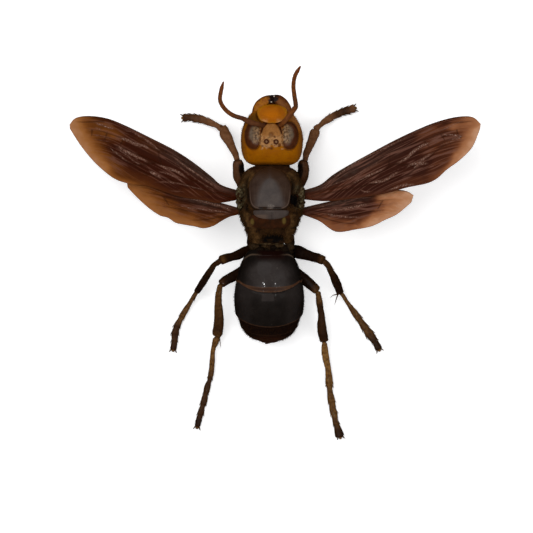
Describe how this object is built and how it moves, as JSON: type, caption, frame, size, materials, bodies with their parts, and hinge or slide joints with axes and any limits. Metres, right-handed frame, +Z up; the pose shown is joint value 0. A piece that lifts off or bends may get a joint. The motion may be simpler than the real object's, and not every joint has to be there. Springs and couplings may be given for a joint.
{
  "type": "asian giant hornet",
  "caption": "Life-size still model of a giant hornet with spread wings, splayed legs and its face turned up.",
  "frame": {"origin": "on the floor under the middle of the whole outline seen from above", "axes": "+X to the right across the spread wings, +Y towards the head, +Z up"},
  "size_m": [0.0746, 0.0684, 0.015],
  "materials": {
    "head_shell": "smooth orange-brown shell, paler and browner on the face, satin gloss",
    "clypeus": "bright orange shield, satin gloss",
    "jaw": "brown horn with black teeth, satin gloss",
    "eye": "dark red-brown rim round a grey-tan mottled middle, glossy",
    "antenna": "reddish-brown, satin",
    "thorax": "dark olive-brown, dull under short dense hair",
    "back_plate": "grey-brown shield, soft waxy gloss",
    "hind_plate": "dark reddish brown, satin",
    "gaster": "charcoal black rings with thin brown edges, soft gloss",
    "tail": "black-brown to reddish brown, satin",
    "leg": "black-brown, brown on the front shins, satin",
    "foot": "yellowish to dark brown, short spines, satin",
    "wing": "smoky red-brown membrane with an amber to tan margin and glossy folds"
  },
  "bodies": {
    "root": {"head": "head_shell", "clypeus": "clypeus", "eye_left": "eye", "mandible_left": "jaw", "scape_left": "antenna", "flagellum_left": "antenna", "eye_right": "eye", "mandible_right": "jaw", "scape_right": "antenna", "flagellum_right": "antenna", "mesoscutum": "back_plate", "scutellum": "back_plate", "metanotum": "hind_plate", "pronotum": "thorax", "propodeum": "thorax", "thorax_side": "thorax", "petiole": "thorax", "tegula_left": "thorax", "tegula_right": "thorax", "gaster_1": "gaster", "gaster_2": "gaster", "gaster_3": "gaster", "gaster_4": "tail", "gaster_5": "tail", "gaster_6": "tail", "sting": "tail", "forewing_left": "wing", "forewing_right": "wing", "hindwing_left": "wing", "hindwing_right": "wing", "coxa_front_left": "leg", "femur_front_left": "leg", "tibia_front_left": "leg", "tarsus_front_left": "foot", "coxa_front_right": "leg", "femur_front_right": "leg", "tibia_front_right": "leg", "tarsus_front_right": "foot", "coxa_middle_left": "leg", "femur_middle_left": "leg", "tibia_middle_left": "leg", "tarsus_middle_left": "foot", "coxa_middle_right": "leg", "femur_middle_right": "leg", "tibia_middle_right": "leg", "tarsus_middle_right": "foot", "coxa_hind_left": "leg", "femur_hind_left": "leg", "tibia_hind_left": "leg", "tarsus_hind_left": "foot", "coxa_hind_right": "leg", "femur_hind_right": "leg", "tibia_hind_right": "leg", "tarsus_hind_right": "foot"}
  },
  "joints": []
}
